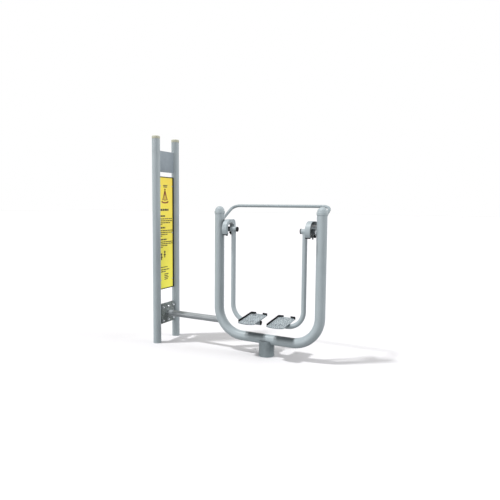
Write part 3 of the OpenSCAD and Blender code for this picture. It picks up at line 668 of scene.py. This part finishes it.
def make_welds():
    """The painted beads where tubes and plates are joined, one piece for each bead width and body."""
    rounds = [link_to_flange(), link_to_frame()] + [boss_to_leg(side) for side in SIDES]
    weld("frame_welds", FRAME_BODY, rounds, plates_to_posts() + frame_to_pedestal(), FRAME_BEAD_MM)
    weld("rail_welds", FRAME_BODY, [rail_to_leg(side) for side in SIDES], [], RAIL_BEAD_MM)
    for side in SIDES:
        weld(side + "_arm_weld", ARM_BODIES[side], [arm_to_hub(side)], [], ARM_BEAD_MM)


# Foot plates. The middle of each lozenge is farther than the margin from the plate's edge and holes

TREAD_PITCH_MM = 18
TREAD_COLUMNS = 11
TREAD_ROWS = 19
TREAD_MARGIN_MM = 12
LOZENGE_L_MM = 20
LOZENGE_W_MM = 7.5
LOZENGE_H_MM = 2.0
TREAD = tread_tree()


def foot_stand(side):
    """The middle of a foot plate's top face, tilted with it."""
    low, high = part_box(side + "_foot_plate")
    place = Matrix.Translation(((low.x + high.x) / 2, 0, hinge_z - ARM_DROP + FOOT_LIFT))
    return place @ Matrix.Rotation(FOOT_TILT, 4, "X")


def make_tread(side):
    """Rolled lozenges over the plate's top face."""
    middle = foot_stand(side)
    top = copy_of(side + "_foot_plate")
    up = middle.to_3x3() @ Vector((0, 0, 1))
    bmesh.ops.delete(top, geom=[f for f in top.faces if f.normal.dot(up) < 0.999], context="FACES")
    bmesh.ops.transform(top, matrix=middle.inverted(), verts=top.verts)
    bmesh.ops.triangulate(top, faces=top.faces)
    under = [f for f in top.faces if f.calc_center_median().z < -MM]
    bmesh.ops.delete(top, geom=under, context="FACES")
    face = bpy.data.meshes.new(side + "_tread_face")
    top.to_mesh(face)
    top.free()
    mesh = grown(side + "_tread", bpy.data.objects.new(side + "_tread", face), TREAD, {
        "Pitch": TREAD_PITCH_MM * MM, "Columns": TREAD_COLUMNS, "Rows": TREAD_ROWS,
        "Length": LOZENGE_L_MM * MM, "Width": LOZENGE_W_MM * MM, "Height": LOZENGE_H_MM * MM,
        "Margin": TREAD_MARGIN_MM * MM, "Finish": RUBBED_PAINT})
    mesh.transform(middle)
    mesh.shade_smooth()
    in_frame(side + "_tread", mesh, ARM_BODIES[side], RUBBED_PAINT)


# Fixings, turned from rings. A ring is its height, its radius and, where it is cut to a hexagon, the width
# over its flats, all in mm. The radius BY_FLATS leaves the outline to the flats

BY_FLATS = 99
STEPS = 36
# The screws of the sign and the foot plates, and their nuts
SCREW_R_MM = 4
THREAD_PITCH_MM = 1.25
THREAD_DEPTH_MM = 0.6
THREAD_CHAMFER_MM = 0.9
SIGN_THREAD_L_MM = 6
FOOT_THREAD_L_MM = 8
SOCKET_FLATS_MM = 5
BUTTON_SOCKET_DEPTH_MM = 2.2
SUNK_SOCKET_DEPTH_MM = 2.5
NUT_FLATS_MM = 13
NUT_CHAMFER_MM = 0.7
NUT_FACE_R_MM = 6.1
# The outline of each head, as how far down from its top and the radius there
BUTTON_HEAD_MM = ((4, SCREW_R_MM), (4, 7), (3.2, 6.9), (1.8, 5.9), (0.6, 4.4), (0, 3.4))
SUNK_HEAD_MM = ((4, SCREW_R_MM), (0.3, 7.5), (0, 7.3))
# The bolts and cap nuts of the link tube's flange. The dome's radius is a share of the nut's flats
LINK_R_MM = 6
LINK_FLATS_MM = 19
BOLT_HEAD_H_MM = 7.5
BOLT_CHAMFER_MM = 1.2
BOLT_FACE_R_MM = 8.7
BOLT_TIP_CHAMFER_MM = 1
CAP_CHAMFER_MM = 0.9
CAP_FACE_R_MM = 9.3
DOME_SHARE = 0.45
DOME_TOP_R_MM = 0.4


def threaded(end):
    """The rings of a screw's thread from its chamfered end upwards."""
    rings = [(0, SCREW_R_MM - THREAD_CHAMFER_MM)]
    for n in range(int(end / THREAD_PITCH_MM)):
        rings += [((n + 0.5) * THREAD_PITCH_MM, SCREW_R_MM),
                  ((n + 1) * THREAD_PITCH_MM, SCREW_R_MM - THREAD_DEPTH_MM)]
    return rings + [(end, SCREW_R_MM)]


def socket_screw(length, thread, head, socket):
    """A screw with a thread at the low end, and a hexagon socket in a head of the outline given."""
    return threaded(thread) + [(length - down, radius) for down, radius in head] + [
        (length, BY_FLATS, SOCKET_FLATS_MM), (length - socket, BY_FLATS, SOCKET_FLATS_MM)]


def button_screw(length):
    """A low domed head."""
    return socket_screw(length, SIGN_THREAD_L_MM, BUTTON_HEAD_MM, BUTTON_SOCKET_DEPTH_MM)


def countersunk_screw(length):
    """A flat head with a cone under it."""
    return socket_screw(length, FOOT_THREAD_L_MM, SUNK_HEAD_MM, SUNK_SOCKET_DEPTH_MM)


def hexagon(height, flats, chamfer, face_r):
    """The rings of a hexagon whose ends are both chamfered to a round face."""
    return [(0, face_r, flats), (chamfer, BY_FLATS, flats), (height - chamfer, BY_FLATS, flats),
            (height, face_r, flats)]


def plain_nut(height):
    """A hexagon with a bore."""
    return hexagon(height, NUT_FLATS_MM, NUT_CHAMFER_MM, NUT_FACE_R_MM) + [
        (height, SCREW_R_MM), (0, SCREW_R_MM)]


def hexagon_bolt(length):
    """A hexagon head at the low end, chamfered on its outer face only."""
    return [(0, BOLT_FACE_R_MM, LINK_FLATS_MM), (BOLT_CHAMFER_MM, BY_FLATS, LINK_FLATS_MM),
            (BOLT_HEAD_H_MM, BY_FLATS, LINK_FLATS_MM), (BOLT_HEAD_H_MM, LINK_R_MM),
            (length - BOLT_TIP_CHAMFER_MM, LINK_R_MM), (length, LINK_R_MM - BOLT_TIP_CHAMFER_MM)]


def cap_nut(length):
    """A hexagon with a dome over the end of the bolt."""
    dome = DOME_SHARE * LINK_FLATS_MM
    foot = length - dome
    turns = [math.radians(12 * n) for n in range(8)]
    return hexagon(foot, LINK_FLATS_MM, CAP_CHAMFER_MM, CAP_FACE_R_MM) + [
        (foot + dome * math.sin(t), dome * math.cos(t)) for t in turns] + [(length, DOME_TOP_R_MM)]


def hexagon_reach(flats, t):
    """How far a hexagon's outline is from its middle at the angle t."""
    return flats / 2 / math.cos((t + math.pi / 6) % (math.pi / 3) - math.pi / 6)


def stacked(name, rings, is_loop):
    """A solid made of rings, closed at both ends or through a hole."""
    shape = bmesh.new()
    turns = [2 * math.pi * n / STEPS for n in range(STEPS)]
    rows = []
    for height, radius, *flats in rings:
        reach = [min([radius] + [hexagon_reach(f, t) for f in flats]) * MM for t in turns]
        rows.append([shape.verts.new((r * math.cos(t), r * math.sin(t), height * MM))
                     for r, t in zip(reach, turns)])
    pairs = list(zip(rows, rows[1:] + rows[:1]))
    for low, high in (pairs if is_loop else pairs[:-1]):
        for n in range(STEPS):
            after = (n + 1) % STEPS
            shape.faces.new((low[n], low[after], high[after], high[n]))
    if not is_loop:
        shape.faces.new(rows[0][::-1])
        shape.faces.new(rows[-1])
    bmesh.ops.recalc_face_normals(shape, faces=shape.faces)
    return bpy.data.objects.new(name, to_mesh(name, shape, SHARP_THREAD))


ALONG_X = Matrix.Rotation(math.pi / 2, 4, "Y")
FIXING = fixing_tree()


def fit_fixings(node, rings_for, stand, seed, is_loop=False):
    """Stands for a CAD node of plain fixings with turned and chamfered ones in the same places."""
    found = islands(node, stand)
    low, high = found[0]
    points = bpy.data.meshes.new(node + "_places")
    points.from_pydata([((a.x + b.x) / 2, (a.y + b.y) / 2, a.z) for a, b in found], [], [])
    one = stacked(node + "_one", rings_for((high.z - low.z) / MM), is_loop)
    mesh = grown(node + "_fitted", bpy.data.objects.new(node + "_fitted", points), FIXING, {
        "Fixing": one, "Seed": seed, "Finish": ZINC})
    bpy.data.objects.remove(one)
    mesh.transform(stand)
    in_frame(node + "_fitted", mesh, nodes[node]["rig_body"], ZINC, [node])


def make_fixings():
    """Every screw, bolt and nut that shows, each kind with its own seed for how it is turned."""
    fit_fixings("sign_screws", button_screw, ALONG_X, 1)
    fit_fixings("sign_nuts", plain_nut, ALONG_X, 2, is_loop=True)
    fit_fixings("link_bolts", hexagon_bolt, ALONG_X, 3)
    fit_fixings("link_nuts", cap_nut, ALONG_X, 4)
    for side in SIDES:
        fit_fixings(side + "_foot_screws", countersunk_screw, foot_stand(side), 5)
        fit_fixings(side + "_foot_nuts", plain_nut, foot_stand(side), 6, is_loop=True)


# Sign print. Places are mm down from the sheet's top edge and across from its middle, towards the back

PRINT_T = 0.3 * MM
LINES_INK = "#3A3312"
DIAGRAM_INK = "#7E3610"
# Two bars above the diagram: across to their front end, down to their lower edge, width and height
TITLE_BARS = ((-52, 88, 70, 9), (-46, 102, 58, 9))
# The diagram of a swinging arm: a pivot, three rods with a bob at the end, and an arc with two arrow heads
PIVOT_ACROSS_MM = -22
PIVOT_DOWN_MM = 124
PIVOT_R_MM = 11
ROD_FROM_MM = 13
ROD_TO_MM = 92
ROD_HALF_MM = 6
ROD_SWINGS = (-18, 0, 18)
BOB_BEYOND_MM = 8
BOB_R_MM = 10
ARC_R_MM = 128
ARC_W_MM = 13
ARC_END = 17
ARROW_TIP = 28
ARROW_HALF_MM = 12
# The printed border
BORDER_SIDE_MM = 13
BORDER_END_MM = 6
# Rows of bars: how far down, how tall, and the share of the rows' full width
PRINTED_ROWS = (
    (311, 20, 0.66),
    (374, 15, 0.36), (405, 9, 0.95), (424, 9, 1.0), (443, 9, 0.8), (459, 8, 0.14),
    (488, 16, 0.38), (520, 9, 1.0), (539, 9, 0.95), (558, 9, 0.6), (574, 8, 0.12),
    (606, 13, 0.5), (632, 9, 0.98), (650, 9, 1.0), (668, 9, 0.55), (685, 8, 0.16),
    (882, 9, 0.55), (907, 9, 0.7), (926, 9, 0.4),
)
ROWS_FROM_MM = 18
ROWS_W_MM = 192
BAR_MM = (22, 48)
SHORTEST_BAR_MM = 5
BAR_GAP_MM = 4
# Two marks of a disc, a stem and a cross bar: across to the middle, and down to the level that the disc's
# middle and the lower ends of the stem and the bar are measured from
MARKS = ((-82, 748), (-30, 726))
DISC_DOWN_MM = 10
DISC_R_MM = 12
STEM_DOWN_MM = 66
STEM_W_MM = 14
STEM_H_MM = 44
CROSS_DOWN_MM = 42
CROSS_W_MM = 36
# A block of lines at the foot of the sheet, of two widths by turns
FOOT_LINES = 4
FOOT_ACROSS_MM = -38
FOOT_DOWN_MM = 962
FOOT_PITCH_MM = 17
FOOT_W_MM = (66, 54)
LINE_H_MM = 9


def printed_ink(name, hex_colour):
    """Opaque screen ink: a flat, slightly matt film whose edge stands just proud of the sheet."""
    made, tree, shader, place = new_surface(name, 0.5, ior=1.48)
    film = add(tree, "ShaderNodeTexNoise", {"Vector": place, "Scale": per_mm(4), "Detail": 2.0})
    tone = add(tree, "ShaderNodeHueSaturation", {"Color": linear(hex_colour)})
    depth = add(tree, "ShaderNodeMapRange", {"Value": film.outputs["Fac"], "To Min": 0.85, "To Max": 1.15})
    tree.links.new(depth.outputs["Result"], tone.inputs["Value"])
    tree.links.new(tone.outputs["Color"], shader.inputs["Base Color"])
    return made


def slab(shape, points, face_x):
    """A thin print with the outline of points, given as (y, z), on the sign's front face."""
    back = [shape.verts.new((face_x, y, z)) for y, z in points]
    front = [shape.verts.new((face_x + PRINT_T, y, z)) for y, z in points]
    shape.faces.new(front)
    shape.faces.new(back[::-1])
    for n in range(len(points)):
        after = (n + 1) % len(points)
        shape.faces.new((back[n], back[after], front[after], front[n]))


def bar(shape, face_x, y, z, width, height):
    """An upright rectangle whose front lower corner is at (y, z)."""
    slab(shape, [(y, z), (y + width, z), (y + width, z + height), (y, z + height)], face_x)


def hanging(y, z, radius, t):
    """The point that hangs below (y, z) at a radius, swung by the angle t towards the back."""
    return y + radius * math.sin(t), z - radius * math.cos(t)


def arc_band(shape, face_x, y, z, radius, width, half_angle):
    """A band of an arc below (y, z), as wide to the front as to the back."""
    steps = 20
    turns = [half_angle * (2 * n / steps - 1) for n in range(steps + 1)]
    outer = [hanging(y, z, radius + width / 2, t) for t in turns]
    inner = [hanging(y, z, radius - width / 2, t) for t in turns]
    slab(shape, outer + inner[::-1], face_x)


def disc(shape, face_x, y, z, radius):
    """A round spot."""
    steps = 24
    turns = [2 * math.pi * n / steps for n in range(steps)]
    slab(shape, [(y + radius * math.cos(t), z + radius * math.sin(t)) for t in turns], face_x)


def print_diagram(shape, face_x, y, z):
    """A pivot with an arm in three places, over an arc with an arrow head at each end."""
    disc(shape, face_x, y, z, PIVOT_R_MM * MM)
    for swing in ROD_SWINGS:
        t = math.radians(swing)
        half_y, half_z = ROD_HALF_MM * MM * math.cos(t), ROD_HALF_MM * MM * math.sin(t)
        near, far = hanging(y, z, ROD_FROM_MM * MM, t), hanging(y, z, ROD_TO_MM * MM, t)
        slab(shape, [(far[0] - half_y, far[1] - half_z), (far[0] + half_y, far[1] + half_z),
                     (near[0] + half_y, near[1] + half_z), (near[0] - half_y, near[1] - half_z)], face_x)
        disc(shape, face_x, *hanging(y, z, (ROD_TO_MM + BOB_BEYOND_MM) * MM, t), BOB_R_MM * MM)
    arc_band(shape, face_x, y, z, ARC_R_MM * MM, ARC_W_MM * MM, math.radians(ARC_END))
    for end in (-1, 1):
        t = math.radians(ARC_END * end)
        head = [hanging(y, z, (ARC_R_MM - ARROW_HALF_MM) * MM, t),
                hanging(y, z, (ARC_R_MM + ARROW_HALF_MM) * MM, t),
                hanging(y, z, ARC_R_MM * MM, math.radians(ARROW_TIP * end))]
        slab(shape, head[::end], face_x)


def print_border(shape, low, high):
    """A frame of ink along the sheet's edges."""
    side, end = BORDER_SIDE_MM * MM, BORDER_END_MM * MM
    for y in (low.y, high.y - side):
        bar(shape, high.x, y, low.z, side, high.z - low.z)
    for z in (low.z, high.z - end):
        bar(shape, high.x, low.y + side, z, high.y - low.y - 2 * side, end)


def print_rows(shape, low, high):
    """Rows of bars. Each row is broken by chance into bars of uneven length."""
    chance = random.Random(7)
    for down_mm, height_mm, share in PRINTED_ROWS:
        y = low.y + ROWS_FROM_MM * MM
        end = y + ROWS_W_MM * MM * share
        while y < end:
            length = min(chance.uniform(*BAR_MM) * MM, end - y)
            if length > SHORTEST_BAR_MM * MM:
                bar(shape, high.x, y, high.z - (down_mm + height_mm) * MM, length, height_mm * MM)
            y += length + BAR_GAP_MM * MM


def print_marks(shape, high):
    """The two marks, and the block of lines at the foot."""
    for across, down in MARKS:
        disc(shape, high.x, across * MM, high.z - (down + DISC_DOWN_MM) * MM, DISC_R_MM * MM)
        bar(shape, high.x, (across - STEM_W_MM / 2) * MM, high.z - (down + STEM_DOWN_MM) * MM,
            STEM_W_MM * MM, STEM_H_MM * MM)
        bar(shape, high.x, (across - CROSS_W_MM / 2) * MM, high.z - (down + CROSS_DOWN_MM) * MM,
            CROSS_W_MM * MM, LINE_H_MM * MM)
    for n in range(FOOT_LINES):
        bar(shape, high.x, FOOT_ACROSS_MM * MM, high.z - (FOOT_DOWN_MM + FOOT_PITCH_MM * n) * MM,
            FOOT_W_MM[n % 2] * MM, LINE_H_MM * MM)


def make_sign_print():
    """Rows of plain bars in dark ink, and a swing diagram in red."""
    low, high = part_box("sign_sheet")
    lines, diagram = bmesh.new(), bmesh.new()
    for across_mm, down_mm, width_mm, height_mm in TITLE_BARS:
        bar(lines, high.x, across_mm * MM, high.z - down_mm * MM, width_mm * MM, height_mm * MM)
    print_diagram(diagram, high.x, PIVOT_ACROSS_MM * MM, high.z - PIVOT_DOWN_MM * MM)
    print_border(lines, low, high)
    print_rows(lines, low, high)
    print_marks(lines, high)
    for name, shape, colour in (("sign_lines", lines, LINES_INK), ("swing_diagram", diagram, DIAGRAM_INK)):
        ink = printed_ink(name + "_ink", colour)
        in_frame(name, to_mesh(name, shape), FRAME_BODY, ink)


# Camera and light

# The photograph's camera, as solved from the posts, the legs and the ground line
FRAME_PX = 500
FOCAL_PX = 477.64
AXIS_PX = (246.78, 245.62)
YAW = math.radians(27.444)
PITCH = math.radians(-4.872)
ROLL = math.radians(0.493)
CAMERA_AT = (1.7811, -3.8355, 1.3544)
# Each lamp's strength, the way that its light travels, and its softness in degrees
LAMPS = {
    "key": (2.35, (0.4, 0.3, -1.0), 5),
    "front_fill": (1.25, (-0.1, 1.0, -0.06), 20),
    "right_fill": (1.7, (-1.0, -0.3, -0.38), 30),
    "left_fill": (1.3, (0.64, 0.77, -0.1), 30),
    "back_fill": (0.8, (0.0, -1.0, -0.1), 40),
}
SKY_AT_HORIZON = 0.1
SKY_OVERHEAD = 0.82
FLOOR_REACH = 60


def photo_camera():
    """The camera that the photograph was taken with."""
    lens = bpy.data.cameras.new("photo_camera")
    lens.sensor_width = 36
    lens.lens = FOCAL_PX / FRAME_PX * lens.sensor_width
    lens.shift_x = 0.5 - AXIS_PX[0] / FRAME_PX
    lens.shift_y = AXIS_PX[1] / FRAME_PX - 0.5
    lens.clip_end = 200
    camera = bpy.data.objects.new("photo_camera", lens)
    bpy.context.scene.collection.objects.link(camera)
    ahead = Vector((-math.sin(YAW) * math.cos(PITCH), math.cos(YAW) * math.cos(PITCH), math.sin(PITCH)))
    level = Vector((math.cos(YAW), math.sin(YAW), 0))
    upright = level.cross(ahead)
    right = math.cos(ROLL) * level + math.sin(ROLL) * upright
    up = math.cos(ROLL) * upright - math.sin(ROLL) * level
    camera.matrix_world = Matrix((right, up, -ahead)).transposed().to_4x4()
    camera.location = CAMERA_AT
    bpy.context.scene.camera = camera


def sun(name, strength, towards, soft_degrees):
    """A soft lamp whose light travels along towards."""
    lamp = bpy.data.lights.new(name, "SUN")
    lamp.energy = strength
    lamp.angle = math.radians(soft_degrees)
    made = bpy.data.objects.new(name, lamp)
    bpy.context.scene.collection.objects.link(made)
    made.rotation_mode = "QUATERNION"
    made.rotation_quaternion = Vector(towards).to_track_quat("-Z", "Y")


def seen_directly(tree):
    """1 where the camera, a reflection or glass looks at the surface, 0 where it only gives light."""
    path = add(tree, "ShaderNodeLightPath").outputs
    mirror = add(tree, "ShaderNodeMath", {0: path["Is Camera Ray"], 1: path["Is Glossy Ray"]},
                 operation="MAXIMUM")
    return add(tree, "ShaderNodeMath", {0: mirror.outputs[0], 1: path["Is Transmission Ray"]},
               operation="MAXIMUM").outputs[0]


def sky():
    """A dome that gives more light from above than from the sides, and looks white."""
    world = bpy.data.worlds.new("studio")
    bpy.context.scene.world = world
    world.use_nodes = True
    tree = world.node_tree
    tree.nodes.clear()
    way = add(tree, "ShaderNodeTexCoord").outputs["Generated"]
    height = add(tree, "ShaderNodeSeparateXYZ", {"Vector": way}).outputs["Z"]
    dome = add(tree, "ShaderNodeMapRange", {"Value": height, "To Min": SKY_AT_HORIZON,
                                            "To Max": SKY_OVERHEAD})
    glow = add(tree, "ShaderNodeMix", {"Factor": seen_directly(tree), "A": dome.outputs["Result"],
                                       "B": 1.0})
    back = add(tree, "ShaderNodeBackground", {"Color": (1, 1, 1, 1), "Strength": glow.outputs["Result"]})
    add(tree, "ShaderNodeOutputWorld", {"Surface": back.outputs["Background"]})


def pale_floor():
    """Matt paper that looks almost white, takes the shadow, and throws little light back up."""
    paper = bpy.data.materials.new("pale_floor")
    paper.use_nodes = True
    tree = paper.node_tree
    tree.nodes.clear()
    tone = add(tree, "ShaderNodeMix", {"Factor": seen_directly(tree), "A": linear("#7C7C7E"),
                                       "B": linear("#DBDADC")}, data_type="RGBA")
    matt = add(tree, "ShaderNodeBsdfDiffuse", {"Color": tone.outputs["Result"]})
    add(tree, "ShaderNodeOutputMaterial", {"Surface": matt.outputs["BSDF"]})
    sheet = bpy.data.meshes.new("floor")
    corners = [(x * FLOOR_REACH, y * FLOOR_REACH, 0) for x, y in ((-1, -1), (1, -1), (1, 1), (-1, 1))]
    sheet.from_pydata(corners, [], [(0, 1, 2, 3)])
    sheet.materials.append(paper)
    floor = bpy.data.objects.new("floor", sheet)
    bpy.context.scene.collection.objects.link(floor)


bpy.context.scene.view_settings.view_transform = "Standard"
photo_camera()
dress_cad_nodes()
sky()
for name, (strength, towards, soft_degrees) in LAMPS.items():
    sun(name, strength, towards, soft_degrees)
pale_floor()
make_welds()
for side in SIDES:
    make_tread(side)
for node, radius_mm in ROUNDED.items():
    rounded(node, radius_mm)
make_fixings()
make_sign_print()
